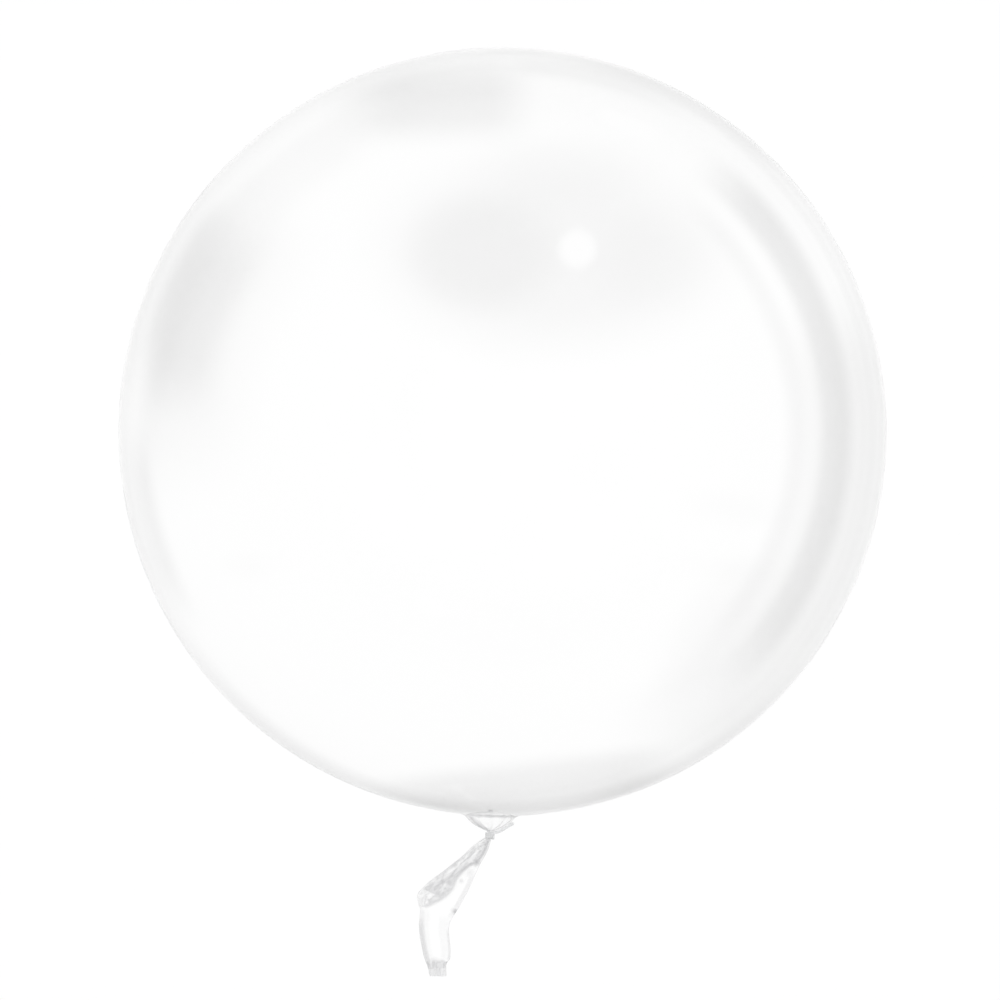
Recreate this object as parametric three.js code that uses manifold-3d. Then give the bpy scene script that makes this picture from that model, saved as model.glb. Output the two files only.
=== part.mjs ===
// A clear bubble balloon: a ball of thin stretch film, inflated and closed. The film gathers at its
// foot in a short pleated funnel and a tight pinch, which a small tie holds, and the spare filling
// sleeve hangs on from the pinch as a crumpled, flattened tail that ends in a denser cuff.
// It lies loose, with its neck level. The ball is sealed, so it is one solid with no cavity.
// Millimetres, +Z up. The origin is the middle of the flat spot that the ball rests on. The neck
// points along -Y, and the tail leans off to -X.
import * as THREE from "three";
import { mergeVertices } from "three/addons/utils/BufferGeometryUtils.js";
import Module from "manifold-3d";

const wasm = await Module();
wasm.setup();

// Ball
const BALL_RADIUS = 254; // a 20-inch balloon
const REST_SPOT_RADIUS = 27; // the film flattens where it touches the floor
const BALL_HEIGHT = Math.sqrt(BALL_RADIUS ** 2 - REST_SPOT_RADIUS ** 2); // centre above the floor
const BALL_SIDES = 64;
const BALL_RINGS = 36;

// Neck, measured along its own axis from the ball's centre
const NECK_SWING = THREE.MathUtils.degToRad(-1.8); // off -Y, towards -X
const FUNNEL_ROOT_RADIUS = 20; // where the funnel leaves the ball
const FUNNEL = [
  [16.6, 254.4],
  [14.6, 256.4],
  [12.2, 258.5],
  [8.2, 261.1],
  [4.2, 263.2],
]; // radius and distance of its flank, from the ball down
const PINCH_RADIUS = 1.7;
const PINCH_START = 264.4;
const PINCH_END = 272;
const PLEATS = 12;
const PLEAT_DEPTH = 0.5;
const PLEATS_DEEPEN_TO = 9; // radius where they are deepest; they start at the pinch
const PLEATS_FADE = [13, 30]; // radii between which they die out on the ball

// Tie
const TIE_GAP = 0.35; // clear of the film all round
const TIE_STRIP = 1.8; // width of the strip that is wound and tucked
const TIE_THICKNESS = 1.1;
const TIE_VALLEY = 0.55; // share of that between two turns
const TIE_TURNS = 3;
const TIE_START = 264.4; // its first turn's edge, along the neck
const TIE_SIDES = 16;
const TIE_END_STEPS = 12;
const TIE_END_ROUTE = [
  [2.6, 265.4, 0.9],
  [6.6, 263.4, 2.5],
  [10.9, 260.4, 4.0],
  [15.3, 257.7, 4.5],
]; // of the free end: distance off the neck's axis towards +X, along the neck, and above it

// Sleeve: its two edges, station by station, as X and Y from the ball's centre
const SLEEVE_EDGES = [
  { left: [-10.2, -270.2], right: [-6.9, -270.4] },
  { left: [-18.8, -272.9], right: [-10.0, -277.2] },
  { left: [-26.3, -280.1], right: [-15.5, -287.2] },
  { left: [-38.4, -289.8], right: [-22.9, -303.6] },
  { left: [-50.0, -298.8], right: [-28.4, -313.8] },
  { left: [-56.4, -306.8], right: [-31.2, -318.4] },
  { left: [-54.6, -316.2], right: [-34.6, -324.2] },
  { left: [-55.2, -328.0], right: [-35.5, -330.6] },
  { left: [-53.6, -340.0], right: [-34.4, -341.2] },
  { left: [-51.6, -348.6], right: [-34.6, -348.0] },
  { left: [-49.9, -353.2], right: [-37.1, -352.4] },
  { left: [-48.2, -360.3], right: [-37.2, -360.3] },
];
const SLEEVE_STEPS = 50;
const SLEEVE_ACROSS = 12; // panels from edge to edge
const SLEEVE_DROOP = 17; // how far its end hangs below the neck
const DROOP_POWER = 1.5; // of the way along, by which the droop grows

// Where along the sleeve one form gives way to the next, from 0 at the pinch to 1 at the end
const FANS_OUT = [0.06, 0.24];
const STRAIGHTENS = [0.455, 0.535];
const CUFF_STARTS = [0.8, 0.83];
// The same across it, from -1 at its left edge to 1 at its right
const CRUMPLED_TO_FLAT = [-0.1, 0.25];
const CREASED_TO_CALM = [-0.2, 0.3];
const ROLL_THICKENS = [0.55, 0.85]; // of the way from the middle to either edge

const PINCHED_THICKNESS = 3.2;
const CRUMPLE_THICKNESS = 3.6;
const FLAT_THICKNESS = 1.5;
const EDGE_ROLL_THICKNESS = 2.4;
const CUFF_THICKNESS = 3.2;
const EDGE_ROUNDING = 0.75; // how much the edges thin out, from 0 to 1
// Waves in the sleeve: height, and how many fit along it and across half of it
const LENGTHWISE_CREASES = { height: 1.2, along: 4, across: 1.7 };
const CROSS_CREASES = { height: 0.72, along: 15, across: -0.8 };
const CALM_WAVES = { height: 0.6, along: 3, across: 0.5 };
const CREASES_START = [0.04, 0.16]; // along it, between none and full height
const CALM_WAVES_START = [0.1, 0.3];

const { lerp, smoothstep } = THREE.MathUtils;

// A closed geometry as a manifold-3d solid.
function toSolid(geometry) {
  const bare = geometry.clone();
  bare.deleteAttribute("normal");
  bare.deleteAttribute("uv");
  const merged = mergeVertices(bare, 1e-3);
  return new wasm.Manifold(
    new wasm.Mesh({
      numProp: 3,
      vertProperties: merged.attributes.position.array,
      triVerts: new Uint32Array(merged.index.array),
    }),
  );
}

// A manifold-3d solid back as a geometry.
function toGeometry(solid) {
  const mesh = solid.getMesh();
  const geometry = new THREE.BufferGeometry();
  geometry.setAttribute("position", new THREE.BufferAttribute(mesh.vertProperties, 3));
  geometry.setIndex(new THREE.BufferAttribute(mesh.triVerts, 1));
  geometry.computeVertexNormals();
  return geometry;
}

// From the neck's own frame, with the neck along -Y from the ball's centre, to the part's frame.
function placeNeck(geometry) {
  return geometry.rotateZ(NECK_SWING).translate(0, 0, BALL_HEIGHT);
}

// The ball, its funnel and the pinch, turned about the neck's axis and then pleated.
function ballAndNeck() {
  const rootAngle = Math.asin(FUNNEL_ROOT_RADIUS / BALL_RADIUS);
  const profile = [
    new THREE.Vector2(0, -PINCH_END),
    new THREE.Vector2(PINCH_RADIUS, -PINCH_END),
    new THREE.Vector2(PINCH_RADIUS, -PINCH_START),
  ];
  for (const [radius, along] of [...FUNNEL].reverse()) profile.push(new THREE.Vector2(radius, -along));
  // The last stretch of the ball, next to the funnel, has rings of its own, so that one of the
  // others falls on the ball's widest place.
  const crowded = 3;
  const wide = Math.PI / BALL_RINGS;
  for (let k = 0; k < crowded; k++) {
    const angle = lerp(rootAngle, 2 * wide, k / crowded);
    profile.push(new THREE.Vector2(BALL_RADIUS * Math.sin(angle), -BALL_RADIUS * Math.cos(angle)));
  }
  for (let k = 2; k <= BALL_RINGS; k++) {
    const angle = k * wide;
    const radius = k === BALL_RINGS ? 0 : BALL_RADIUS * Math.sin(angle);
    profile.push(new THREE.Vector2(radius, -BALL_RADIUS * Math.cos(angle)));
  }
  const geometry = new THREE.LatheGeometry(profile, BALL_SIDES);
  pleat(geometry);
  return toSolid(placeNeck(geometry));
}

// Pushes the film in and out along its normal, in pleats that are deepest on the funnel and die
// out on the ball and towards the pinch.
function pleat(geometry) {
  const { position, normal } = geometry.attributes;
  for (let i = 0; i < position.count; i++) {
    const [x, y, z] = [position.getX(i), position.getY(i), position.getZ(i)];
    if (y > 0) continue;
    const radius = Math.hypot(x, z);
    const deepened = smoothstep(radius, PINCH_RADIUS, PLEATS_DEEPEN_TO);
    const faded = smoothstep(radius, ...PLEATS_FADE);
    const depth = PLEAT_DEPTH * deepened * (1 - faded);
    const push = depth * Math.cos(PLEATS * Math.atan2(z, x));
    position.setXYZ(
      i,
      x + push * normal.getX(i),
      y + push * normal.getY(i),
      z + push * normal.getZ(i),
    );
  }
}

// One edge of the sleeve, "left" or "right", as a curve through its stations.
function edgeCurve(side) {
  return new THREE.CatmullRomCurve3(
    SLEEVE_EDGES.map((station) => new THREE.Vector3(...station[side], 0)),
    false,
    "centripetal",
  );
}

// Thickness of the collapsed sleeve at `share` along it and `across` it, -1 at its left edge and
// 1 at its right: a bundle at the pinch, then a crumpled left half beside a flat right half, then
// a flat tube with rolled edges, then the cuff.
function sleeveThickness(share, across) {
  const crumpled = lerp(CRUMPLE_THICKNESS, FLAT_THICKNESS, smoothstep(across, ...CRUMPLED_TO_FLAT));
  const rolled = smoothstep(Math.abs(across), ...ROLL_THICKENS);
  const tube = lerp(FLAT_THICKNESS, EDGE_ROLL_THICKNESS, rolled);
  const fanned = lerp(PINCHED_THICKNESS, crumpled, smoothstep(share, ...FANS_OUT));
  const open = lerp(fanned, tube, smoothstep(share, ...STRAIGHTENS));
  const thickness = lerp(open, CUFF_THICKNESS, smoothstep(share, ...CUFF_STARTS));
  return thickness * Math.sqrt(1 - EDGE_ROUNDING * across ** 4);
}

function wave(kind, share, across) {
  return kind.height * Math.sin(2 * Math.PI * (kind.along * share + kind.across * across));
}

// Height of the sleeve's middle over its level line: creases that run down from the pinch through
// the crumpled half, broken up by shorter ones across them, and shallow waves in the rest.
function sleeveWave(share, across) {
  const creases = wave(LENGTHWISE_CREASES, share, across) + wave(CROSS_CREASES, share, across);
  const started = smoothstep(share, ...CREASES_START) * (1 - smoothstep(share, ...STRAIGHTENS));
  const onLeft = 1 - smoothstep(across, ...CREASED_TO_CALM);
  const calm = wave(CALM_WAVES, share, across) * smoothstep(share, ...CALM_WAVES_START);
  return creases * started * onLeft + calm;
}

// The sleeve as one closed skin: at each step a loop over its top and back under its bottom.
function sleeve() {
  const left = edgeCurve("left");
  const right = edgeCurve("right");
  const loop = 2 * SLEEVE_ACROSS;
  const points = [];
  for (let step = 0; step <= SLEEVE_STEPS; step++) {
    const share = step / SLEEVE_STEPS;
    const [from, to] = [left.getPoint(share), right.getPoint(share)];
    const level = BALL_HEIGHT - SLEEVE_DROOP * share ** DROOP_POWER;
    for (let k = 0; k < loop; k++) {
      const onTop = k <= SLEEVE_ACROSS;
      const across = onTop ? (2 * k) / SLEEVE_ACROSS - 1 : 3 - (2 * k) / SLEEVE_ACROSS;
      const atEdge = Math.abs(across) === 1;
      const half = atEdge ? 0 : sleeveThickness(share, across) / 2;
      const place = from.clone().lerp(to, (across + 1) / 2);
      const height = level + sleeveWave(share, across) + (onTop ? half : -half);
      points.push(place.x, place.y, height);
    }
  }
  const faces = [];
  for (let step = 0; step < SLEEVE_STEPS; step++)
    for (let k = 0; k < loop; k++) {
      const a = step * loop + k;
      const b = step * loop + ((k + 1) % loop);
      faces.push(a, a + loop, b, b, a + loop, b + loop);
    }
  const last = SLEEVE_STEPS * loop;
  for (let k = 1; k < loop - 1; k++) {
    faces.push(0, k, k + 1);
    faces.push(last, last + k + 1, last + k);
  }
  const geometry = new THREE.BufferGeometry();
  geometry.setAttribute("position", new THREE.Float32BufferAttribute(points, 3));
  geometry.setIndex(faces);
  return toSolid(geometry);
}

// All the film is one piece. Its underside is cut level where the ball rests.
function filmBody() {
  const reach = 4 * BALL_RADIUS;
  const floor = new THREE.BoxGeometry(reach, reach, reach).translate(0, 0, -reach / 2);
  return ballAndNeck().add(sleeve()).subtract(toSolid(floor));
}

// The wound strip, as rounded bands round the pinch, with its free end standing off beside the
// funnel.
function tie() {
  const inner = PINCH_RADIUS + TIE_GAP;
  const profile = [new THREE.Vector2(inner, -TIE_START - TIE_TURNS * TIE_STRIP)];
  const stepsPerBand = 4;
  for (let k = 0; k <= stepsPerBand * TIE_TURNS; k++) {
    const along = TIE_START + TIE_TURNS * TIE_STRIP - (k * TIE_STRIP) / stepsPerBand;
    const bulge = Math.abs(Math.sin((Math.PI * k) / stepsPerBand));
    const radius = inner + TIE_THICKNESS * lerp(TIE_VALLEY, 1, bulge);
    profile.push(new THREE.Vector2(radius, -along));
  }
  profile.push(new THREE.Vector2(inner, -TIE_START), profile[0].clone());
  const bands = new THREE.LatheGeometry(profile, TIE_SIDES);

  const route = new THREE.CatmullRomCurve3(
    TIE_END_ROUTE.map(([off, along, above]) => new THREE.Vector3(off, -along, above)),
  );
  const corner = TIE_THICKNESS / 2;
  const section = new THREE.Shape();
  const reach = TIE_STRIP / 2 - corner;
  section.absarc(0, reach, corner, 0, Math.PI);
  section.absarc(0, -reach, corner, Math.PI, 2 * Math.PI);
  const freeEnd = new THREE.ExtrudeGeometry(section, {
    extrudePath: route,
    steps: TIE_END_STEPS,
    curveSegments: 4,
    bevelEnabled: false,
  });
  return toSolid(placeNeck(bands)).add(toSolid(placeNeck(freeEnd)));
}

const film = new THREE.MeshStandardMaterial({
  color: 0xf4f6f7,
  roughness: 0.04,
  metalness: 0,
  transparent: true,
  opacity: 0.3,
});
const tieStrip = new THREE.MeshStandardMaterial({
  color: 0xcfd3d6,
  roughness: 0.25,
  metalness: 0,
  transparent: true,
  opacity: 0.8,
});

function piece(name, solid, material) {
  const mesh = new THREE.Mesh(toGeometry(solid), material);
  mesh.name = name;
  return mesh;
}

const balloon = new THREE.Group();
balloon.add(piece("bubble_film", filmBody(), film));
balloon.add(piece("neck_tie", tie(), tieStrip));

export default balloon;
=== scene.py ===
"""A clear bubble balloon, lying loose in a plain pale studio.

The film ball with its pleated neck, the crumpled sleeve that hangs on as a tail, the cuff at the
sleeve's end and the small tie are each made by one operator, and the studio by another. All sizes
are in metres in the part's own frame: +Z up, the neck along -Y, the ball resting at the origin.
"""

import math

import bpy
import numpy as np
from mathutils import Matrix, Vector, noise


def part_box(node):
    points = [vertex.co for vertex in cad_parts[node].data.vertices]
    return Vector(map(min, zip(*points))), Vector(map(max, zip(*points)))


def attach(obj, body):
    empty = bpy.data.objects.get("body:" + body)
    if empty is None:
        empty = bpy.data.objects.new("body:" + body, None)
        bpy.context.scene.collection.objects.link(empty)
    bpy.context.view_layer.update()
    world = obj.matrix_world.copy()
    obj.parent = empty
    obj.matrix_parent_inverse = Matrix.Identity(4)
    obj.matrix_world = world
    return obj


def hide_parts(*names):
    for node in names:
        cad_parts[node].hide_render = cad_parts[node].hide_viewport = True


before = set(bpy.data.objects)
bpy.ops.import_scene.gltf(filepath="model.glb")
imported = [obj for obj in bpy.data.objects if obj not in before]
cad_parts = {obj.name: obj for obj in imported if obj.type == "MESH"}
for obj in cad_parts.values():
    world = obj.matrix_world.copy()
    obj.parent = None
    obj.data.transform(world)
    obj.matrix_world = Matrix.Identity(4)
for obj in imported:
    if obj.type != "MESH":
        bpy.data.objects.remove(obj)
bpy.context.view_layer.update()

bl_info = {
    "name": "Clear bubble balloon",
    "version": (1, 0, 0),
    "blender": (4, 5, 0),
    "location": "View3D > Sidebar > Balloon",
    "description": "Builds a clear bubble balloon, its tail and its tie in a soft studio",
    "category": "Add Mesh",
}

MM = 0.001
FILM_LOW, FILM_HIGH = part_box("bubble_film")
BALL_RADIUS = (FILM_HIGH.x - FILM_LOW.x) / 2
BALL_CENTRE = Vector(((FILM_HIGH.x + FILM_LOW.x) / 2, 0.0, FILM_HIGH.z - BALL_RADIUS))
NECK_SWING = math.radians(-1.8)  # how far the neck leans from -Y, towards -X

# The funnel's flank as (radius, distance from the ball's centre along the neck), in millimetres.
FUNNEL = (
    (34.0, 251.72),
    (26.0, 252.70),
    (19.6, 253.40),
    (16.6, 254.40),
    (14.6, 256.40),
    (12.2, 258.50),
    (8.2, 261.10),
    (4.2, 263.20),
    (1.7, 264.60),
    (1.7, 267.60),
)
# The sleeve's two edges, station by station, as X and Y from the ball's centre, in millimetres.
SLEEVE_LEFT = (
    (-10.0, -267.0),
    (-18.8, -272.9),
    (-26.3, -280.1),
    (-38.4, -289.8),
    (-50.0, -298.8),
    (-56.4, -306.8),
    (-54.6, -316.2),
    (-55.2, -328.0),
    (-53.6, -340.0),
    (-51.6, -348.6),
    (-49.9, -353.2),
    (-48.2, -360.3),
)
SLEEVE_RIGHT = (
    (-6.8, -267.1),
    (-10.0, -277.2),
    (-15.5, -287.2),
    (-22.9, -303.6),
    (-28.4, -313.8),
    (-31.2, -318.4),
    (-34.6, -324.2),
    (-35.5, -330.6),
    (-34.4, -341.2),
    (-34.6, -348.0),
    (-37.1, -352.4),
    (-37.2, -360.3),
)
SLEEVE_LENGTH = 106 * MM
SLEEVE_HALF_WIDTH = 10 * MM
# Shares of the sleeve's length, from 0 at the pinch to 1 at its end, over which each part of it
# begins or ends.
FOLD_AT = 5 / 11
CUFF_AT = 9.1 / 11
FANS_OUT = (0.06, 0.24)
PLEATS_TURN_CALM = (0.1, 0.3)
FREE_EDGE_BEGINS = (0.19, 0.24)
STRAND_ENDS = (0.22, 0.3)
STRAIGHTENS = (FOLD_AT, FOLD_AT + 0.08)
FREE_EDGE_ENDS = (FOLD_AT, FOLD_AT + 0.09)
TUBE_BEGINS = (0.5, 0.56)
BUNDLE_ENDS = (0.52, 0.56)
CRUMPLES_END = (0.53, 0.55)
LEFT_ROLL_THICKENS = (0.57, 0.63)
RIGHT_ROLL_BEGINS = (0.58, 0.66)
CUFF_THICKENS = (CUFF_AT - 0.04, CUFF_AT + 0.02)
TUBE_ENDS = (0.83, 0.85)
CUFF_DENSE_TO = CUFF_AT + 0.06
CUFF_FOLD_ENDS = (0.935, 0.945)
# How far in from the sleeve's edges the extra layers and the painted edge shade reach: full to
# the first, none from the second.
LEFT_ROLL = (1.8 * MM, 5.2 * MM)
RIGHT_ROLL = (1.2 * MM, 2.2 * MM)
FREE_EDGE = (2.4 * MM, 3.8 * MM)
CRUMPLES_THIN_OUT = (49 * MM, 54 * MM)  # towards -X
# The bundle that runs down from the pinch, bounds the crumpled part on its right and ends at
# the fold.
BUNDLE_ROUTE = (
    (-8.6, -267.0),
    (-10.0, -271.0),
    (-11.4, -276.0),
    (-14.4, -281.0),
    (-17.2, -284.4),
    (-20.6, -285.6),
    (-24.1, -287.9),
    (-28.5, -292.1),
    (-31.0, -295.4),
    (-32.6, -299.4),
    (-34.6, -303.2),
    (-38.4, -306.9),
    (-42.9, -309.6),
    (-47.4, -311.8),
    (-50.8, -313.4),
)
BUNDLE_WIDTH = 1.4 * MM
# Length and width of the cells that the film is crushed into, and the seed of their pattern.
LARGE_CELLS = (6.5 * MM, 2.4 * MM, 3.0)
SMALL_CELLS = (2.6 * MM, 1.3 * MM, 13.0)
# Where extra layers lie together: X, Y and radius in millimetres, and how many layers, from 0
# for one to 1 for a thick bundle.
CLUMPS = (
    (-17.2, -284.2, 2.7, 0.72),
    (-31.2, -317.2, 2.1, 0.62),
    (-27.4, -296.9, 1.5, 0.26),
    (-21.5, -291.7, 3.2, 0.15),
    (-31.4, -286.4, 2.2, 0.45),
    (-26.2, -281.6, 1.8, 0.4),
    (-34.8, -298.2, 3.0, 0.55),
    (-47.0, -299.6, 2.4, 0.45),
    (-42.6, -305.0, 3.0, 0.5),
    (-54.0, -305.2, 1.5, 0.2),
    (-50.6, -351.4, 2.2, 0.6),
)
TIE_SECTIONS_PER_TURN = 36
# The tie's free end: distance off the neck's axis towards +X, distance along the neck and height
# over it, in millimetres.
TIE_END_ROUTE = (
    (4.3, 264.6, 1.6),
    (6.9, 263.6, 2.8),
    (11.3, 260.7, 4.2),
    (15.6, 258.1, 4.6),
)
SOFTBOX_WIDTH, SOFTBOX_HEIGHT = 3.0, 4.0


# ---------------------------------------------------------------------------------------------
# Values that a user may change


def length(name, description, default, **limits):
    return bpy.props.FloatProperty(
        name=name, description=description, default=default, unit="LENGTH", precision=5, **limits
    )


def number(name, description, default, **limits):
    return bpy.props.FloatProperty(name=name, description=description, default=default, **limits)


def count(name, description, default):
    return bpy.props.IntProperty(name=name, description=description, default=default, min=3)


def colour(name, description, default):
    return bpy.props.FloatVectorProperty(
        name=name,
        description=description,
        default=default,
        size=3,
        min=0.0,
        max=1.0,
        subtype="COLOR",
    )


class BalloonBall(bpy.types.PropertyGroup):
    """Sizes of the film ball and its neck."""

    radius: length("Radius", "Radius of the inflated ball", BALL_RADIUS)
    film: length("Film", "Thickness of the stretched film", 0.15 * MM)
    sides: count("Sides", "Faces round the neck's axis", 240)
    rings: count("Rings", "Rings from the far pole to the funnel", 116)
    neck_rings: count("Neck rings", "Rings from the funnel's root to the pinch", 60)
    pleats: count("Pleats", "Pleats gathered into the neck", 12)
    pleat_depth: length("Pleat depth", "Height of the pleats on the funnel", 0.35 * MM)
    pleat_reach: length("Pleat reach", "How far up the ball the pleats still show", 30 * MM)
    unevenness: length("Unevenness", "Height of the slow waves in the film", 0.1 * MM)


class BalloonSleeve(bpy.types.PropertyGroup):
    """Sizes of the sleeve that hangs on from the neck, and of its cuff."""

    film: length("Film", "Thickness of the unstretched film", 0.13 * MM)
    droop: length("Droop", "How far the sleeve's end hangs below the neck", 17 * MM)
    pinched: length("Pinched", "Thickness of the bundle at the pinch", 3.2 * MM)
    crumpled: length("Crumpled", "Thickness of the crumpled half", 3.4 * MM)
    flat: length("Flat", "Thickness of the flat part", 1.3 * MM)
    edge_roll: length("Edge roll", "Thickness of the rolled edges", 2.4 * MM)
    crease: length("Crease", "Height of the large creases", 1.4 * MM)
    crumple: length("Crumple", "Height of the small crumples", 0.6 * MM)
    cuff: length("Cuff", "Thickness of the folded cuff", 3.2 * MM)
    steps: count("Steps", "Sections along the sleeve", 300)
    across: count("Across", "Faces from edge to edge", 60)


class BalloonTie(bpy.types.PropertyGroup):
    """Sizes of the tie round the neck."""

    width: length("Width", "Width of the strip", 1.75 * MM)
    thickness: length("Thickness", "Thickness of the strip", 1.05 * MM)
    turns: count("Turns", "Turns round the pinch", 3)
    turn_radius: length("Turn radius", "Radius of the strip's middle line", 2.6 * MM)
    lowest: length("Lowest", "Middle of the last turn, along the neck", 268.9 * MM)
    highest: length("Highest", "Middle of the first turn, along the neck", 265.3 * MM)


class BalloonFinish(bpy.types.PropertyGroup):
    """Colours and gloss of the film and the tie."""

    film_colour: colour("Film", "Colour of one clear layer", (1.0, 1.0, 1.0))
    film_ior: number("Film IOR", "Refractive index of the film", 1.58, min=1.0, max=2.5)
    # Where the tint goes to this colour, it paints shade as well as film folded in several plies.
    folded_and_shaded_colour: colour("Folded film", "Colour where many layers lie together", (0.6, 0.6, 0.61))
    tie_colour: colour("Tie", "Colour of the clear strip", (0.9, 0.905, 0.91))


class BalloonStudio(bpy.types.PropertyGroup):
    """Floor, light and camera."""

    floor_colour: colour("Floor", "Colour of the floor", (0.9, 0.9, 0.9))
    surround: number("Surround", "Brightness of the soft light all round", 1.04, min=0.0)
    overhead: number("Overhead", "Power of the soft light overhead, in watts", 14.0, min=0.0)
    distance: length("Distance", "Height of the camera over the ball's middle", 12.0)
    view_width: length("View width", "Width that the camera sees at the ball's middle", 0.6606)
    view_centre_x: length("View centre X", "Where the camera looks", -1.65 * MM)
    view_centre_y: length("View centre Y", "Where the camera looks", -45.25 * MM)


# ---------------------------------------------------------------------------------------------
# Shader maths


class Number:
    """A number socket. Arithmetic on it adds the Math nodes that work it out."""

    def __init__(self, graph, socket):
        self.graph = graph
        self.socket = socket

    def maths(self, operation, *values):
        inputs = dict(enumerate(values))
        node = self.graph.add("ShaderNodeMath", {"operation": operation}, inputs)
        return Number(self.graph, node.outputs[0])

    def __add__(self, other):
        return self.maths("ADD", self, other)

    __radd__ = __add__

    def __sub__(self, other):
        return self.maths("SUBTRACT", self, other)

    def __rsub__(self, other):
        return self.maths("SUBTRACT", other, self)

    def __mul__(self, other):
        return self.maths("MULTIPLY", self, other)

    __rmul__ = __mul__

    def __truediv__(self, other):
        return self.maths("DIVIDE", self, other)

    def root(self):
        return self.maths("SQRT", self)

    def absolute(self):
        return self.maths("ABSOLUTE", self)

    def over(self, limit):
        """1 where the number is above the limit, else 0."""
        return self.maths("GREATER_THAN", self, limit)

    def under(self, limit):
        """1 where the number is below the limit, else 0."""
        return self.maths("LESS_THAN", self, limit)

    def at_most(self, other):
        return self.maths("MINIMUM", self, other)

    def at_least(self, other):
        return self.maths("MAXIMUM", self, other)

    def angle(self, across):
        """The angle, in radians, of the point with this height and that distance across."""
        return self.maths("ARCTAN2", self, across)

    def rise(self, start, end):
        """0 at start, 1 at end and smooth between them, whichever is larger."""
        inputs = {"Value": self, "From Min": start, "From Max": end}
        settings = {"interpolation_type": "SMOOTHSTEP"}
        node = self.graph.add("ShaderNodeMapRange", settings, inputs)
        return Number(self.graph, node.outputs["Result"])

    def bump(self, start, full, rest, end):
        """Rises from start to full, stays at 1, and falls from rest to end."""
        return self.rise(start, full) * self.rise(end, rest)


class Graph:
    """The nodes of one material or of the world."""

    def __init__(self, owner):
        owner.use_nodes = True
        self.tree = owner.node_tree
        self.tree.nodes.clear()

    def add(self, kind, settings=None, inputs=None):
        """Adds a node, makes its settings, then fills or links its sockets."""
        node = self.tree.nodes.new(kind)
        for name, value in (settings or {}).items():
            setattr(node, name, value)
        for name, value in (inputs or {}).items():
            if isinstance(value, Number):
                self.tree.links.new(value.socket, node.inputs[name])
            elif isinstance(value, bpy.types.NodeSocket):
                self.tree.links.new(value, node.inputs[name])
            else:
                node.inputs[name].default_value = value
        return node

    def number(self, node, output):
        return Number(self, node.outputs[output])

    def mix_colours(self, factor, first, second):
        """Colour sockets of a Mix node share their names with its others, so they go by place."""
        inputs = {0: factor, 6: opaque(first), 7: opaque(second)}
        return self.add("ShaderNodeMix", {"data_type": "RGBA"}, inputs).outputs[2]


def opaque(rgb):
    return (*rgb, 1.0)


# ---------------------------------------------------------------------------------------------
# Materials


def film_material(name, finish, cloud_scale, unevenness, dulling):
    """Clear film: see-through by its transmission, with a faint haze and slow unevenness. Its
    colour darkens by the attribute that the pieces carry: where film lies folded in several
    plies, and as painted shade where film is seen edge-on, along creases and round the neck."""
    material = bpy.data.materials.new(name)
    graph = Graph(material)
    cloud = speckle(graph, cloud_scale, 3.0)
    bump_inputs = {"Strength": 1.0, "Distance": unevenness, "Height": cloud}
    bump = graph.add("ShaderNodeBump", {}, bump_inputs)
    # The tint read here is partly film in several plies and partly painted shade: along creases,
    # along rolled and free edges, round the neck's collar and along the funnel's outline.
    layers_and_shade = graph.add("ShaderNodeAttribute", {"attribute_name": "layers_and_shade"})
    tint = graph.mix_colours(graph.number(layers_and_shade, "Fac"), finish.film_colour, finish.folded_and_shaded_colour)
    finish_surface(
        graph,
        {
            "Base Color": tint,
            "Roughness": dulling * cloud.rise(0.52, 0.8),
            "IOR": finish.film_ior,
            "Transmission Weight": 1.0,
            "Normal": bump.outputs["Normal"],
        },
    )
    return material


def ball_film(finish):
    return film_material("clear_film", finish, 9.0, 0.04 * MM, 0.03)


def folded_film(finish):
    return film_material("folded_film", finish, 260.0, 0.1 * MM, 0.1)


def strip_material(finish):
    """The tie's clear strip, with fine scuffs along it."""
    material = bpy.data.materials.new("tie_strip")
    graph = Graph(material)
    scuff = speckle(graph, 900.0, 2.0)
    darker = tuple(0.9 * part for part in finish.tie_colour)
    tint = graph.mix_colours(scuff.rise(0.35, 0.7), finish.tie_colour, darker)
    bump = graph.add("ShaderNodeBump", {}, {"Strength": 0.6, "Distance": 0.1 * MM, "Height": scuff})
    finish_surface(
        graph,
        {
            "Base Color": tint,
            "Roughness": 0.2 * scuff + 0.15,
            "IOR": 1.5,
            "Transmission Weight": 0.45,
            "Normal": bump.outputs["Normal"],
        },
    )
    return material


def speckle(graph, scale, detail):
    """Cloudy noise from 0 to 1, fixed to the piece that wears it."""
    place = graph.add("ShaderNodeTexCoord").outputs["Object"]
    cloud = graph.add("ShaderNodeTexNoise", {}, {"Vector": place, "Scale": scale, "Detail": detail})
    return graph.number(cloud, "Fac")


def finish_surface(graph, inputs):
    shader = graph.add("ShaderNodeBsdfPrincipled", {}, inputs)
    graph.add("ShaderNodeOutputMaterial", {}, {"Surface": shader.outputs["BSDF"]})


def floor_material(studio):
    """Plain pale floor. Reflections pass it by, and show the light behind it."""
    material = bpy.data.materials.new("studio_floor")
    graph = Graph(material)
    surface = graph.add(
        "ShaderNodeBsdfPrincipled",
        {},
        {
            "Base Color": opaque(studio.floor_colour),
            "Roughness": 1.0,
            "Specular IOR Level": 0.0,
        },
    )
    unseen = graph.add("ShaderNodeBsdfTransparent")
    mirrored = reflected(graph, graph.add("ShaderNodeLightPath"))
    mix = graph.add(
        "ShaderNodeMixShader",
        {},
        {0: mirrored, 1: surface.outputs["BSDF"], 2: unseen.outputs["BSDF"]},
    )
    graph.add("ShaderNodeOutputMaterial", {}, {"Surface": mix.outputs["Shader"]})
    return material


# ---------------------------------------------------------------------------------------------
# Mesh helpers


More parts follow.
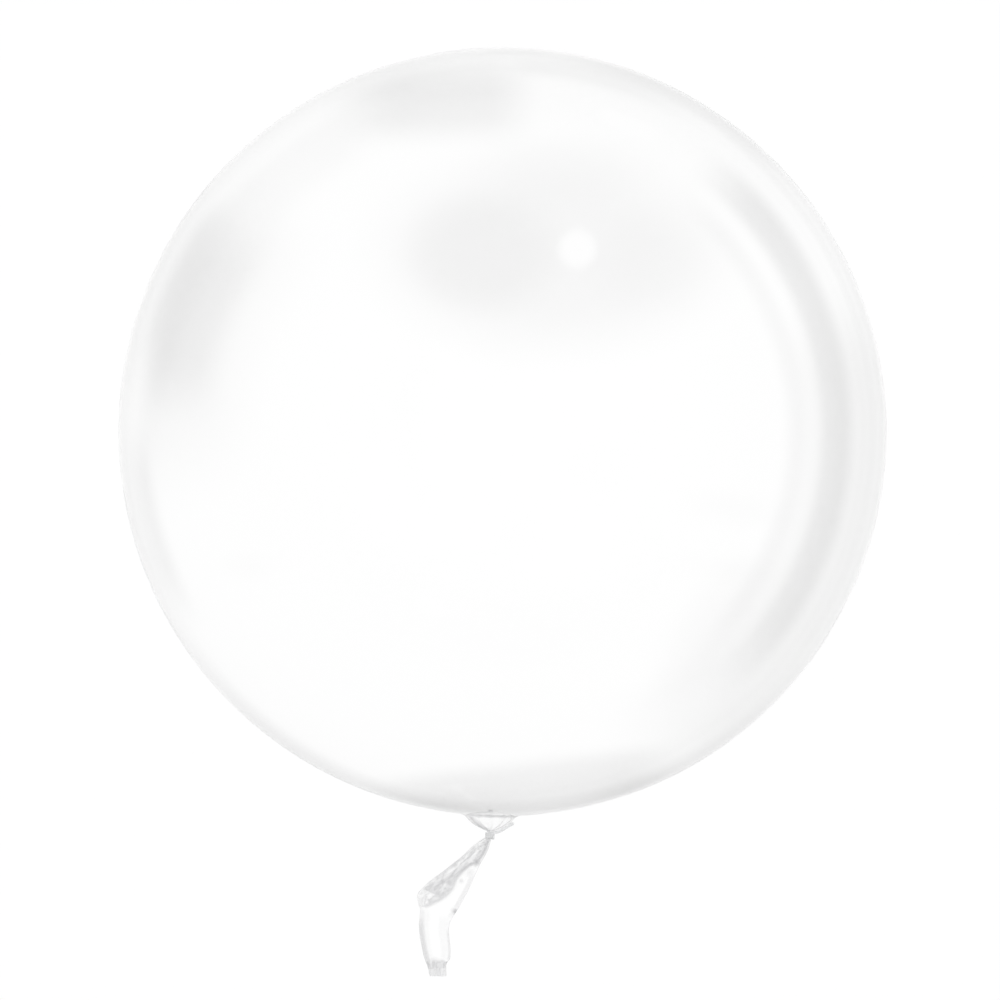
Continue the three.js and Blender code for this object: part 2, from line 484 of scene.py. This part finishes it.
def smoothstep(value, start, end):
    t = np.clip((np.asarray(value, float) - start) / (end - start), 0.0, 1.0)
    return t * t * (3 - 2 * t)


def fade(value, start, end):
    """1 up to start, 0 from end, and smooth between them."""
    return 1 - smoothstep(value, start, end)


def blend(first, second, factor):
    return first + (second - first) * factor


def spline(points, steps):
    """Catmull-Rom curve through the points, with `steps` stretches in all, evenly spaced by
    station."""
    given = np.array(points, float)
    padded = np.vstack([2 * given[0] - given[1], given, 2 * given[-1] - given[-2]])
    at = np.linspace(0, len(given) - 1, steps + 1)
    k = np.minimum(at.astype(int), len(given) - 2)
    t = (at - k)[:, None]
    a, b, c, d = (padded[k + i] for i in range(4))
    return 0.5 * (
        2 * b + (c - a) * t + (2 * a - 5 * b + 4 * c - d) * t**2 + (3 * b - a - 3 * c + d) * t**3
    )


def unit(vectors):
    size = np.linalg.norm(vectors, axis=-1, keepdims=True)
    return vectors / np.maximum(size, 1e-12)


def grid_normals(grid):
    """Normals of a grid of points whose second direction closes on itself."""
    along = np.gradient(grid, axis=0)
    round_it = np.roll(grid, -1, axis=1) - np.roll(grid, 1, axis=1)
    return unit(np.cross(round_it, along))


def quads_between(first_ring, second_ring):
    """Faces between two closed rings of vertex numbers."""
    after_first = np.roll(first_ring, -1)
    after_second = np.roll(second_ring, -1)
    return np.stack([first_ring, after_first, after_second, second_ring], axis=1).tolist()


def solid_object(name, vertices, faces, material):
    """A smooth mesh object at the origin, with its faces turned outwards."""
    mesh = bpy.data.meshes.new(name)
    mesh.from_pydata(np.asarray(vertices).tolist(), [], faces)
    if volume_within(mesh) < 0:
        mesh.flip_normals()
    mesh.polygons.foreach_set("use_smooth", np.ones(len(mesh.polygons), bool))
    mesh.materials.append(material)
    mesh.update()
    made = bpy.data.objects.new(name, mesh)
    bpy.context.scene.collection.objects.link(made)
    return made


def volume_within(mesh):
    """Volume inside a closed mesh, below zero where its faces look inwards."""
    mesh.calc_loop_triangles()
    places = np.empty(3 * len(mesh.vertices))
    mesh.vertices.foreach_get("co", places)
    corners = np.empty(3 * len(mesh.loop_triangles), int)
    mesh.loop_triangles.foreach_get("vertices", corners)
    a, b, c = np.moveaxis(places.reshape(-1, 3)[corners].reshape(-1, 3, 3), 1, 0)
    return np.sum(a * np.cross(b, c)) / 6


def give_layers_and_shade(piece, layers_and_shade):
    """Stores how thickly the film lies folded, with painted shade added in, for the outer and the
    inner wall alike.
    """
    both = np.concatenate([layers_and_shade.reshape(-1), layers_and_shade.reshape(-1)])
    spare = np.zeros(len(piece.data.vertices) - len(both))
    attribute = piece.data.attributes.new("layers_and_shade", "FLOAT", "POINT")
    attribute.data.foreach_set("value", np.concatenate([both, spare]).astype(np.float32))


def lets_light_through(piece):
    """Thin clear film throws no shadow worth seeing."""
    piece.visible_shadow = False
    piece.visible_diffuse = False


def leaves_no_reflection(piece):
    """The ball doesn't mirror what hangs from it."""
    piece.visible_glossy = False


def from_neck_frame(points):
    """From the neck's frame, with the neck along -Y from the ball's centre, to the part's."""
    points = np.asarray(points, float)
    cos, sin = math.cos(NECK_SWING), math.sin(NECK_SWING)
    x = points[..., 0] * cos - points[..., 1] * sin
    y = points[..., 0] * sin + points[..., 1] * cos
    return np.stack([x, y, points[..., 2]], axis=-1) + np.array(BALL_CENTRE)


def skin(outer, inner, first_end_joined=True):
    """Vertices and faces of a tube wall: an outer and an inner grid, joined at their last rings
    and, unless it is closed in another way, at their first."""
    rows, columns = outer.shape[:2]
    numbers = np.arange(rows * columns).reshape(rows, columns)
    within = numbers + rows * columns
    faces = []
    for k in range(rows - 1):
        faces += quads_between(numbers[k + 1], numbers[k])
        faces += quads_between(within[k], within[k + 1])
    if first_end_joined:
        faces += quads_between(numbers[0], within[0])
    faces += quads_between(within[-1], numbers[-1])
    return np.concatenate([outer.reshape(-1, 3), inner.reshape(-1, 3)]), faces


# ---------------------------------------------------------------------------------------------
# Ball and neck


def ball_profile(ball):
    """Radius and distance along the neck, from the far pole to the pinch's end."""
    root_radius, root_along = FUNNEL[0][0] * MM, FUNNEL[0][1] * MM
    root = math.atan2(root_radius, root_along)
    angles = np.linspace(math.pi, root, ball.rings + 1)[1:-1]
    on_ball = np.stack([ball.radius * np.sin(angles), ball.radius * np.cos(angles)], axis=1)
    neck = spline(np.array(FUNNEL) * MM, ball.neck_rings)
    return np.vstack([on_ball, neck])


def pleat_height(ball, radius, turn):
    """Height of the pleats at a radius from the neck's axis, at an angle round it."""
    main = smoothstep(radius, 1.5 * MM, 8 * MM) * fade(radius, 12 * MM, 0.7 * ball.pleat_reach)
    fine = smoothstep(radius, 6 * MM, 12 * MM) * fade(radius, 14 * MM, ball.pleat_reach)
    waver = 0.35 * np.sin(3 * turn + 0.6) + 0.2 * np.sin(5 * turn + 2.0)
    folds = np.cos(ball.pleats * turn + waver)
    wrinkles = np.cos(2 * ball.pleats * turn - 1.4 * waver + 0.9) * (0.6 + 0.4 * np.sin(2 * turn))
    return ball.pleat_depth * (main * folds + 0.35 * fine * wrinkles)


def rest_on_floor(points):
    """Flattens the film softly where it would pass below the floor."""
    softness = 1.2 * MM
    z = points[..., 2]
    points[..., 2] = 0.5 * (z + np.sqrt(z * z + softness * softness))
    return points


def film_waves(points, height):
    """Slow, shallow unevenness over the ball."""
    waves_per_metre = 11.0
    offset = Vector((3.1, 7.7, 1.3))
    waves = [noise.noise(Vector(p) * waves_per_metre + offset) for p in points.reshape(-1, 3)]
    return (np.array(waves) * height).reshape(*points.shape[:2], 1)


def neck_layers_and_shade(ball, profile, radius, turn):
    """Tint from the ball's far pole to the pinch's end. Mostly painted shade: a shade line round
    the collar, where the funnel meets the ball, and shade along the funnel's outline seen from
    above, where its film is seen edge-on. Towards the pinch, more film gathered together."""
    along = profile[:, 1][:, None]
    sideways = np.cos(turn)
    ridges = 0.5 + 0.5 * np.cos(ball.pleats * turn)[None, :]
    collar = smoothstep(along, 252.9 * MM, 253.5 * MM) * fade(along, 254.6 * MM, 255.6 * MM)
    funnel = smoothstep(along, 254.2 * MM, 255.5 * MM)
    pinch = smoothstep(along, 262.0 * MM, 264.0 * MM)

    # Painted shade along the funnel's outline seen from above, where the film is seen edge-on;
    # darker on the -X side and towards the pinch.
    flank_width = (4.6 - 3.4 * sideways) * MM
    off_outline = radius * (1 - np.abs(sideways))
    outline_shade = fade(off_outline / flank_width, 0.5, 1.0)
    outline_shade = outline_shade * (0.4 + 0.6 * smoothstep(off_outline, 0.2 * MM, 1.5 * MM))
    tighter = 1 + 0.7 * smoothstep(along, 257 * MM, 262 * MM)
    gathered = (0.27 - 0.21 * sideways) * tighter * outline_shade * (0.65 + 0.45 * ridges)

    # Painted shade line round the collar, where the funnel meets the ball, varying round the
    # pleats.
    collar_shade = collar * (0.24 + 0.12 * ridges)
    on_funnel = funnel * (0.02 + gathered + 0.02 * ridges)
    return np.clip(collar_shade + on_funnel + 0.05 * pinch, 0, 1)


def make_ball(ball, finish):
    profile = ball_profile(ball)
    tangent = unit(np.gradient(profile, axis=0))
    outward = np.stack([tangent[:, 1], -tangent[:, 0]], axis=1)
    turn = np.linspace(0, 2 * math.pi, ball.sides, endpoint=False)
    radius = profile[:, 0][:, None] * np.ones_like(turn)
    height = pleat_height(ball, radius, turn[None, :])
    height[profile[:, 1] < 0] = 0.0

    def shell(inset):
        off = profile[:, None, :] + outward[:, None, :] * (height - inset)[..., None]
        grid = np.stack(
            [off[..., 0] * np.cos(turn), -off[..., 1], off[..., 0] * np.sin(turn)], axis=-1
        )
        return from_neck_frame(grid)

    away = unit(shell(0.0) - np.array(BALL_CENTRE))
    waves = away * film_waves(shell(0.0), ball.unevenness)
    lift = np.array([0, 0, ball.film])
    outer = rest_on_floor(shell(0.0) + waves)
    inner = rest_on_floor(shell(ball.film) + waves - lift) + lift
    vertices, faces = skin(outer, inner, first_end_joined=False)

    rows, columns = outer.shape[:2]
    for first, inset, within in ((0, 0.0, False), (rows * columns, ball.film, True)):
        pole = len(vertices)
        top = from_neck_frame(np.array([0.0, ball.radius - inset, 0.0]))
        vertices = np.vstack([vertices, top])
        for k in range(columns):
            a, b = first + k, first + (k + 1) % columns
            faces.append((pole, b, a) if within else (pole, a, b))
    made = solid_object("film_ball", vertices, faces, ball_film(finish))
    # The ball's tint: painted shade at the collar and along the funnel's outline, and more film
    # towards the pinch.
    give_layers_and_shade(made, neck_layers_and_shade(ball, profile, radius, turn))
    return made


# ---------------------------------------------------------------------------------------------
# Sleeve and cuff


def sleeve_thickness(sleeve, along, across):
    """Thickness of the collapsed sleeve, from its left edge at -1 to its right edge at 1."""
    crumpled = blend(sleeve.crumpled, sleeve.flat, smoothstep(across, -0.1, 0.25))
    tube = blend(sleeve.flat, sleeve.edge_roll, smoothstep(np.abs(across), 0.55, 0.85))
    fanned_out = blend(sleeve.pinched, crumpled, smoothstep(along, *FANS_OUT))
    still_open = blend(fanned_out, tube, smoothstep(along, *STRAIGHTENS))
    whole = blend(still_open, sleeve.cuff, smoothstep(along, *CUFF_THICKENS))
    return whole * np.sqrt(np.clip(1 - across**6, 0, 1))


def crushed(along, across, cells, other_seed):
    """Crushed film, in skewed cells of a size: the height of its facets, how near a crease each
    point is, and a shade of its own for each facet, all from 0 to 1."""
    cell_length, cell_width, seed = cells
    skew, crease_width, shade_spacing = 0.35, 0.16, 9.1
    u = along * SLEEVE_LENGTH / cell_length
    v = across * SLEEVE_HALF_WIDTH / cell_width
    skewed = u + skew * v
    tops, creases, shades = (np.empty(u.shape) for _ in range(3))
    for i in np.ndindex(u.shape):
        distances, points = noise.voronoi(Vector((skewed[i], v[i], seed + other_seed)))
        tops[i] = 1 - distances[0]
        creases[i] = distances[1] - distances[0]
        shades[i] = noise.cell(points[0] * shade_spacing)
    return tops, np.exp(-((creases / crease_width) ** 2)), shades


def off_route(place, route):
    """Distance of each place from a route, above 0 on its left-hand side in the view and
    below 0 on its right."""
    route_steps = 90
    steps = spline(np.array(route) * MM, route_steps)
    gaps = place[..., None, :] - steps
    lengths = np.linalg.norm(gaps, axis=-1)
    nearest = np.argmin(lengths, axis=-1)
    gap = np.take_along_axis(gaps, nearest[..., None, None], axis=-2)[..., 0, :]
    heading = np.gradient(steps, axis=0)[nearest]
    turned = heading[..., 1] * gap[..., 0] - heading[..., 0] * gap[..., 1]
    return np.sign(turned) * np.min(lengths, axis=-1)


def clumps(place):
    """How many layers the clumps have at each place."""
    found = np.zeros(place.shape[:-1])
    for x, y, radius, layers_and_shade in CLUMPS:
        away = np.hypot(place[..., 0] - x * MM, place[..., 1] - y * MM)
        found = np.maximum(found, layers_and_shade * np.exp(-((away / (radius * MM)) ** 2)))
    return found


def sleeve_relief(sleeve, place, along, across, on_top):
    """Height of the sleeve's skin over its level line, and its tint from 0 to 1: how many plies lie
    together there, from one to a thick bundle, with painted shade along creases and edges. The
    upper side and the underside are crushed differently."""
    other_seed = 4.0 * on_top
    large = crushed(along, across, LARGE_CELLS, other_seed)
    small = crushed(along, across, SMALL_CELLS, other_seed)
    beyond = off_route(place, BUNDLE_ROUTE)
    crumpled = smoothstep(beyond, 0, 1 * MM) * fade(along, *CRUMPLES_END)
    bundle = np.exp(-((beyond / BUNDLE_WIDTH) ** 2)) * fade(along, *BUNDLE_ENDS)
    height = sleeve_height(sleeve, along, across, crumpled, bundle, large[0], small[0])
    # The tint adds painted shade along creases and edges to the plies of film lying together.
    layers_and_shade = np.maximum.reduce(
        (
            *crumpled_layers_and_shade(place, along, crumpled, bundle, large, small),
            *edge_layers_and_shade(sleeve, place, along, across),
            cuff_layers(along, across, large[2]),
        )
    )
    return height, np.clip(layers_and_shade, 0, 1)


def sleeve_height(sleeve, along, across, crumpled, bundle, facets, small_facets):
    """Height of the creases, crumples and pleats over the sleeve's level line."""
    calm = np.sin(2 * np.pi * (3 * along + 0.5 * across)) * smoothstep(along, *PLEATS_TURN_CALM)
    pleats = np.cos(2 * np.pi * (1.6 * across + 0.4)) * fade(along, *PLEATS_TURN_CALM)
    height = crumpled * (sleeve.crease * facets + sleeve.crumple * small_facets)
    height = height + sleeve.crease * (0.35 * (calm + pleats) + 0.8 * bundle)
    height = height + 0.12 * sleeve.crumple * small_facets * (1 - crumpled)
    return height * np.sqrt(np.clip(1 - across**8, 0, 1))


def crumpled_layers_and_shade(place, along, crumpled, bundle, large, small):
    """Layers of the crumpled side, with painted shade along its creases, of the bundle that bounds
    it and of the clumps.
    """
    _, creases, shades = large
    _, fine_creases, _ = small
    thinner = 1 - 0.6 * smoothstep(-place[..., 0], *CRUMPLES_THIN_OUT)
    # Painted shade along the large and fine creases, over a tone that varies from facet to facet.
    crease_shade_and_mottling = 0.2 + 0.25 * creases + 0.12 * fine_creases + 0.25 * (shades - 0.35)
    strand = bundle * fade(along, *STRAND_ENDS)
    return crumpled * thinner * crease_shade_and_mottling, 0.42 * bundle * thinner + 0.2 * strand, clumps(place)


def edge_layers_and_shade(sleeve, place, along, across):
    """Layers and painted shade of the rolled edges, where the film is seen edge-on, of the flat
    tube beside them and of the free edge above the fold, which is painted as a shade line."""
    from_left = np.linalg.norm(place - place[:, :1], axis=-1)
    from_right = np.linalg.norm(place - place[:, sleeve.across : sleeve.across + 1], axis=-1)
    tube = smoothstep(along, *TUBE_BEGINS) * fade(along, *TUBE_ENDS)
    left_roll = fade(from_left, *LEFT_ROLL) * blend(0.45, 1, smoothstep(along, *LEFT_ROLL_THICKENS))
    right_roll = fade(from_right, *RIGHT_ROLL) * smoothstep(along, *RIGHT_ROLL_BEGINS)
    beside_rolls = smoothstep(across, 0.2, 0.45) + fade(across, -0.5, -0.2)
    free_edge = fade(from_right, *FREE_EDGE) * smoothstep(along, *FREE_EDGE_BEGINS)
    # Painted shade along the rolled edges and the free edge, where the film is seen edge-on, as
    # well as their extra layers.
    return (
        0.36 * tube * left_roll,
        0.2 * tube * right_roll,
        0.06 * tube * beside_rolls,
        0.16 * free_edge * fade(along, *FREE_EDGE_ENDS),
    )


def cuff_layers(along, across, shades):
    """Layers of the cuff, which starts lower on the right and is densest in its upper part."""
    starts = CUFF_AT - 0.035 + 0.04 * across + 0.01 * across**2
    cuff = smoothstep((along - starts) / (CUFF_DENSE_TO - starts), 0, 1)
    folded_over = 0.15 * fade(along, *CUFF_FOLD_ENDS)
    return cuff * (0.35 + 0.2 * (shades - 0.5) + folded_over)


def make_sleeve(sleeve, finish):
    steps, panels = sleeve.steps, sleeve.across
    left = spline(np.array(SLEEVE_LEFT) * MM, steps)
    right = spline(np.array(SLEEVE_RIGHT) * MM, steps)
    turn = np.pi * np.arange(2 * panels) / panels
    along, across = np.meshgrid(np.linspace(0, 1, steps + 1), -np.cos(turn), indexing="ij")
    side = np.where(np.arange(2 * panels) <= panels, 1.0, -1.0)[None, :]
    place = left[:, None, :] + (right - left)[:, None, :] * ((across + 1) / 2)[..., None]
    top, top_layers_and_shade = sleeve_relief(sleeve, place, along, across, 1.0)
    under, under_layers_and_shade = sleeve_relief(sleeve, place, along, across, 0.0)
    level = BALL_CENTRE.z - sleeve.droop * along**1.5
    middle = level + np.where(side > 0, top, under) - 0.5 * sleeve.crease
    height = middle + side * sleeve_thickness(sleeve, along, across) / 2
    outer = np.concatenate([place, height[..., None]], axis=-1)
    inwards = grid_normals(outer)
    inwards *= -np.sign(np.mean(inwards[..., 2] * side))
    inner = outer + inwards * sleeve.film
    vertices, faces = skin(outer, inner)
    made = solid_object("film_sleeve", vertices, faces, folded_film(finish))
    # The sleeve's tint: plies of film lying together, with painted shade along creases and edges.
    give_layers_and_shade(made, np.where(side > 0, top_layers_and_shade, under_layers_and_shade))
    return made


# ---------------------------------------------------------------------------------------------
# Tie


def tie_path(tie):
    """The strip's middle line in the neck's frame: turns round the pinch, then the free end,
    whose curve begins a little way back on the last turn and so leaves it without a kink."""
    leaves_at = math.radians(60)
    lead_in, free_steps = 8, 50
    total = tie.turns * TIE_SECTIONS_PER_TURN
    turned = np.arange(total + 1) / total
    angle = leaves_at + 2 * math.pi * tie.turns * (1 - turned)
    along = blend(tie.lowest, tie.highest, turned)
    wound = np.stack(
        [tie.turn_radius * np.cos(angle), -along, tie.turn_radius * np.sin(angle)], axis=1
    )
    loose = [(off * MM, -down * MM, over * MM) for off, down, over in TIE_END_ROUTE]
    free_end = spline(np.vstack([wound[-lead_in], wound[-1], np.array(loose)]), free_steps)
    joins = np.argmin(np.linalg.norm(free_end - wound[-1], axis=1))
    return np.vstack([wound[:-1], free_end[joins:]])


def make_tie(tie, finish):
    path = tie_path(tie)
    tangent = unit(np.gradient(path, axis=0))
    up = np.array([0.0, 1.0, 0.0])
    wide = unit(up - (tangent @ up)[:, None] * tangent)
    deep = np.cross(tangent, wide)
    sides, corner, free_end_wider, widens_over = 20, 0.6, 0.3, 20
    turn = np.linspace(0, 2 * math.pi, sides, endpoint=False)
    across = np.sign(np.cos(turn)) * np.abs(np.cos(turn)) ** corner * tie.width / 2
    through = np.sign(np.sin(turn)) * np.abs(np.sin(turn)) ** corner * tie.thickness / 2
    stations = np.arange(len(path))
    from_end = np.minimum(stations, stations[::-1])
    rounded_ends = np.interp(from_end, (0, 1, 2), (0.55, 0.85, 1.0))[:, None]
    leaves = tie.turns * TIE_SECTIONS_PER_TURN
    widened = 1 + free_end_wider * smoothstep(stations, leaves, leaves + widens_over)[:, None]
    grid = (
        path[:, None, :]
        + wide[:, None, :] * (across * rounded_ends * widened)[..., None]
        + deep[:, None, :] * (through * rounded_ends)[..., None]
    )
    grid = from_neck_frame(grid)
    rows, columns = grid.shape[:2]
    numbers = np.arange(rows * columns).reshape(rows, columns)
    faces = []
    for k in range(rows - 1):
        faces += quads_between(numbers[k], numbers[k + 1])
    faces.append(numbers[0][::-1].tolist())
    faces.append(numbers[-1].tolist())
    return solid_object("neck_tie_strip", grid.reshape(-1, 3), faces, strip_material(finish))


# ---------------------------------------------------------------------------------------------
# Studio


def reflected(graph, light_path):
    """1 for light that something glossy has reflected on its way to the camera, else 0."""
    mirrored = graph.number(light_path, "Glossy Depth").at_most(1)
    return mirrored * (1 - graph.number(light_path, "Diffuse Depth").at_most(1))


def studio_world(studio):
    """Soft pale light all round. Reflections also have the studio's cards and lamp in them.

    The cards are laid out on the disc that a mirror ball shows from straight above: right and up
    on the disc are +X and +Y, its middle is overhead, and its rim is straight below. What the
    far wall of the ball reflects is turned half round, as the near wall shows it, apart from what
    lies just past the neck, which the near wall shows through the funnel."""
    world = bpy.data.worlds.new("studio_light")
    bpy.context.scene.world = world
    graph = Graph(world)
    light_path = graph.add("ShaderNodeLightPath")
    place = graph.add("ShaderNodeTexCoord")
    parts = graph.add("ShaderNodeSeparateXYZ", {}, {"Vector": place.outputs["Generated"]})
    x, y, z = (graph.number(parts, axis) for axis in "XYZ")
    spread = (2 * (z + 1.0)).at_least(1e-4).root()
    u, v = x / spread, y / spread
    far_wall = graph.number(light_path, "Transmission Depth").over(3)
    neck_u, neck_reach_u, neck_v = -0.031, 0.075, -0.984
    past_neck = (u - neck_u).absolute().under(neck_reach_u) * v.under(neck_v)
    turned = 1 - 2 * far_wall * (1 - past_neck)
    shade = studio_shade(turned * u, turned * v)
    white = opaque((1.0, 1.0, 1.0))
    pale = graph.add("ShaderNodeBackground", {}, {"Color": white, "Strength": studio.surround})
    shine = graph.add("ShaderNodeBackground", {}, {"Color": white, "Strength": shade})
    mirrored = reflected(graph, light_path)
    mix = graph.add(
        "ShaderNodeMixShader",
        {},
        {0: mirrored, 1: pale.outputs["Background"], 2: shine.outputs["Background"]},
    )
    graph.add("ShaderNodeOutputWorld", {}, {"Surface": mix.outputs["Shader"]})
    world.cycles.sampling_method = "NONE"


def studio_shade(u, v):
    """Brightness of the studio that reflections show, at a place on the mirror ball's disc."""
    reach = (u * u + v * v).root()
    around = v.angle(u) * (180 / math.pi)
    left_around = v.angle(0 - u) * (180 / math.pi)

    def oval(centre, half_length, half_width, tilt=0, core=0.2):
        """Soft oval: its half length and half width, and its long side's angle in degrees."""
        cos, sin = math.cos(math.radians(tilt)), math.sin(math.radians(tilt))
        du, dv = u - centre[0], v - centre[1]
        along, beside = (du * cos + dv * sin) / half_length, (dv * cos - du * sin) / half_width
        return (along * along + beside * beside).root().rise(1.0, core)

    # Each card's depth, from 0 for none to 1 for black, and where it lies on the disc.
    cards = {
        "ceiling": (0.38, oval((0.12, 0.46), 0.56, 0.33, core=0.35)),
        "ceiling, far end": (0.14, oval((0.15, 0.68), 0.3, 0.13)),
        "ceiling, left": (0.42, oval((-0.05, 0.465), 0.26, 0.2, core=0.4)),
        "ceiling, right": (0.16, oval((0.38, 0.44), 0.22, 0.18)),
        "left": (0.42, reach.bump(0.72, 0.82, 0.89, 0.96) * left_around.bump(0, 14, 27, 46)),
        "left, wide": (0.20, reach.bump(0.6, 0.8, 0.9, 0.97) * left_around.bump(-16, 8, 30, 52)),
        "left, outside": (
            0.18,
            reach.bump(0.9, 0.94, 0.955, 0.975) * left_around.bump(8, 20, 32, 42),
        ),
        "left, low rim": (0.20, reach.rise(0.9, 0.94) * left_around.bump(-34, -20, -8, 4)),
        "top": (0.36, v.bump(0.72, 0.82, 0.87, 1.0) * u.bump(-0.5, -0.24, -0.05, 0.12)),
        "top, left end": (
            0.10,
            reach.bump(0.76, 0.84, 0.9, 0.95) * around.bump(112, 122, 134, 142),
        ),
        "top rim": (0.16, reach.rise(0.915, 0.95) * u.bump(0.0, 0.1, 0.3, 0.55) * v.rise(0, 0.1)),
        "right arc": (0.48, reach.bump(0.81, 0.85, 0.88, 0.93) * around.bump(-54, -32, 40, 56)),
        "right arc, inner": (
            0.20,
            reach.bump(0.72, 0.76, 0.77, 0.80) * around.bump(-50, -35, 40, 55),
        ),
        "right, low rim": (0.20, reach.rise(0.72, 0.82) * around.bump(-74, -50, 8, 26)),
        "right, low": (0.16, oval((0.56, -0.5), 0.3, 0.13, tilt=50)),
        "right, smudge": (0.08, oval((0.6, -0.2), 0.19, 0.07, tilt=-8, core=0)),
        "right, lower smudge": (0.07, oval((0.6, -0.36), 0.18, 0.06, tilt=-5, core=0)),
        "left, smudge": (0.06, oval((-0.66, -0.35), 0.1, 0.06, core=0)),
    }
    shade = 1 - 0.04 * reach.rise(0.3, 0.7)
    for depth, card in cards.values():
        shade = shade * (1 - depth * card)
    edge_tone, edge_strength = 0.93, 0.85
    shade = shade + reach.rise(0.93, 0.99) * (edge_tone - shade) * edge_strength
    floor_curve = (0.12 * u - v).bump(0.84, 0.9, 0.94, 1.04) * u.bump(-0.45, -0.1, 0.3, 0.5)
    shade = shade * (1 - 0.28 * floor_curve)
    low_rim = reach.rise(0.95, 0.98) * around.bump(-155, -125, -60, -30)
    high_rim = reach.rise(0.95, 0.975) * around.bump(40, 52, 68, 85)
    shade = shade * (1 - 0.12 * low_rim - 0.1 * high_rim)
    rim_light = 1.07 - 0.11 * (0 - v).rise(0.2, 0.9)
    shade = shade + reach.rise(0.985, 1.0) * (rim_light - shade)
    lamp = oval((0.196, 0.475), 0.1, 0.11, core=0.25)
    return shade.at_least(0.93 * lamp)


def studio_floor(studio):
    half = 40.0  # wide enough to fill the view from low down
    corners = [(-half, -half, 0), (half, -half, 0), (half, half, 0), (-half, half, 0)]
    floor = solid_object("studio_floor", corners, [(0, 1, 2, 3)], floor_material(studio))


def studio_lamp(studio):
    lamp = bpy.data.lights.new("overhead_softbox", "AREA")
    lamp.shape = "DISK"
    lamp.size = SOFTBOX_WIDTH
    lamp.energy = studio.overhead
    holder = bpy.data.objects.new("overhead_softbox", lamp)
    holder.location = (0.0, 0.0, SOFTBOX_HEIGHT)
    holder.visible_glossy = False
    holder.visible_transmission = False
    holder.visible_camera = False
    bpy.context.scene.collection.objects.link(holder)


def studio_camera(studio):
    lens = bpy.data.cameras.new("camera")
    lens.sensor_width = 36.0
    lens.lens = lens.sensor_width * studio.distance / studio.view_width
    lens.clip_end = 200.0
    camera = bpy.data.objects.new("camera", lens)
    camera.location = (
        studio.view_centre_x,
        studio.view_centre_y,
        BALL_CENTRE.z + studio.distance,
    )
    bpy.context.scene.collection.objects.link(camera)
    bpy.context.scene.camera = camera


# ---------------------------------------------------------------------------------------------
# Operators and panel


class BALLOON_OT_ball(bpy.types.Operator):
    """Makes the film ball with its pleated neck"""

    bl_idname = "balloon.ball"
    bl_label = "Make ball"

    def execute(self, context):
        made = make_ball(context.scene.balloon_ball, context.scene.balloon_finish)
        lets_light_through(made)
        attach(made, "root")
        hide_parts("bubble_film")
        return {"FINISHED"}


class BALLOON_OT_sleeve(bpy.types.Operator):
    """Makes the crumpled sleeve and its cuff"""

    bl_idname = "balloon.sleeve"
    bl_label = "Make sleeve"

    def execute(self, context):
        made = make_sleeve(context.scene.balloon_sleeve, context.scene.balloon_finish)
        lets_light_through(made)
        leaves_no_reflection(made)
        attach(made, "root")
        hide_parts("bubble_film")
        return {"FINISHED"}


class BALLOON_OT_tie(bpy.types.Operator):
    """Makes the strip that is wound round the neck"""

    bl_idname = "balloon.tie"
    bl_label = "Make tie"

    def execute(self, context):
        made = make_tie(context.scene.balloon_tie, context.scene.balloon_finish)
        leaves_no_reflection(made)
        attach(made, "root")
        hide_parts("neck_tie")
        return {"FINISHED"}


class BALLOON_OT_studio(bpy.types.Operator):
    """Makes the floor, the light and the camera"""

    bl_idname = "balloon.studio"
    bl_label = "Make studio"

    def execute(self, context):
        studio = context.scene.balloon_studio
        studio_floor(studio)
        studio_world(studio)
        studio_lamp(studio)
        studio_camera(studio)
        context.scene.view_settings.view_transform = "Standard"
        context.scene.cycles.max_bounces = 24
        context.scene.cycles.transmission_bounces = 24
        context.scene.cycles.glossy_bounces = 8
        return {"FINISHED"}


class BALLOON_PT_panel(bpy.types.Panel):
    """Lists the steps that build the balloon"""

    bl_label = "Bubble balloon"
    bl_idname = "BALLOON_PT_panel"
    bl_space_type = "VIEW_3D"
    bl_region_type = "UI"
    bl_category = "Balloon"

    def draw(self, context):
        for operator in OPERATORS:
            self.layout.operator(operator.bl_idname)


GROUPS = {
    "balloon_ball": BalloonBall,
    "balloon_sleeve": BalloonSleeve,
    "balloon_tie": BalloonTie,
    "balloon_finish": BalloonFinish,
    "balloon_studio": BalloonStudio,
}
OPERATORS = (BALLOON_OT_ball, BALLOON_OT_sleeve, BALLOON_OT_tie, BALLOON_OT_studio)


def register():
    for made in (*GROUPS.values(), *OPERATORS, BALLOON_PT_panel):
        bpy.utils.register_class(made)
    for name, group in GROUPS.items():
        setattr(bpy.types.Scene, name, bpy.props.PointerProperty(type=group))


def unregister():
    for name in GROUPS:
        delattr(bpy.types.Scene, name)
    for made in (BALLOON_PT_panel, *OPERATORS, *GROUPS.values()):
        bpy.utils.unregister_class(made)


def main():
    register()
    bpy.ops.balloon.ball()
    bpy.ops.balloon.sleeve()
    bpy.ops.balloon.tie()
    bpy.ops.balloon.studio()
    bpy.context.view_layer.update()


if __name__ == "__main__":
    main()
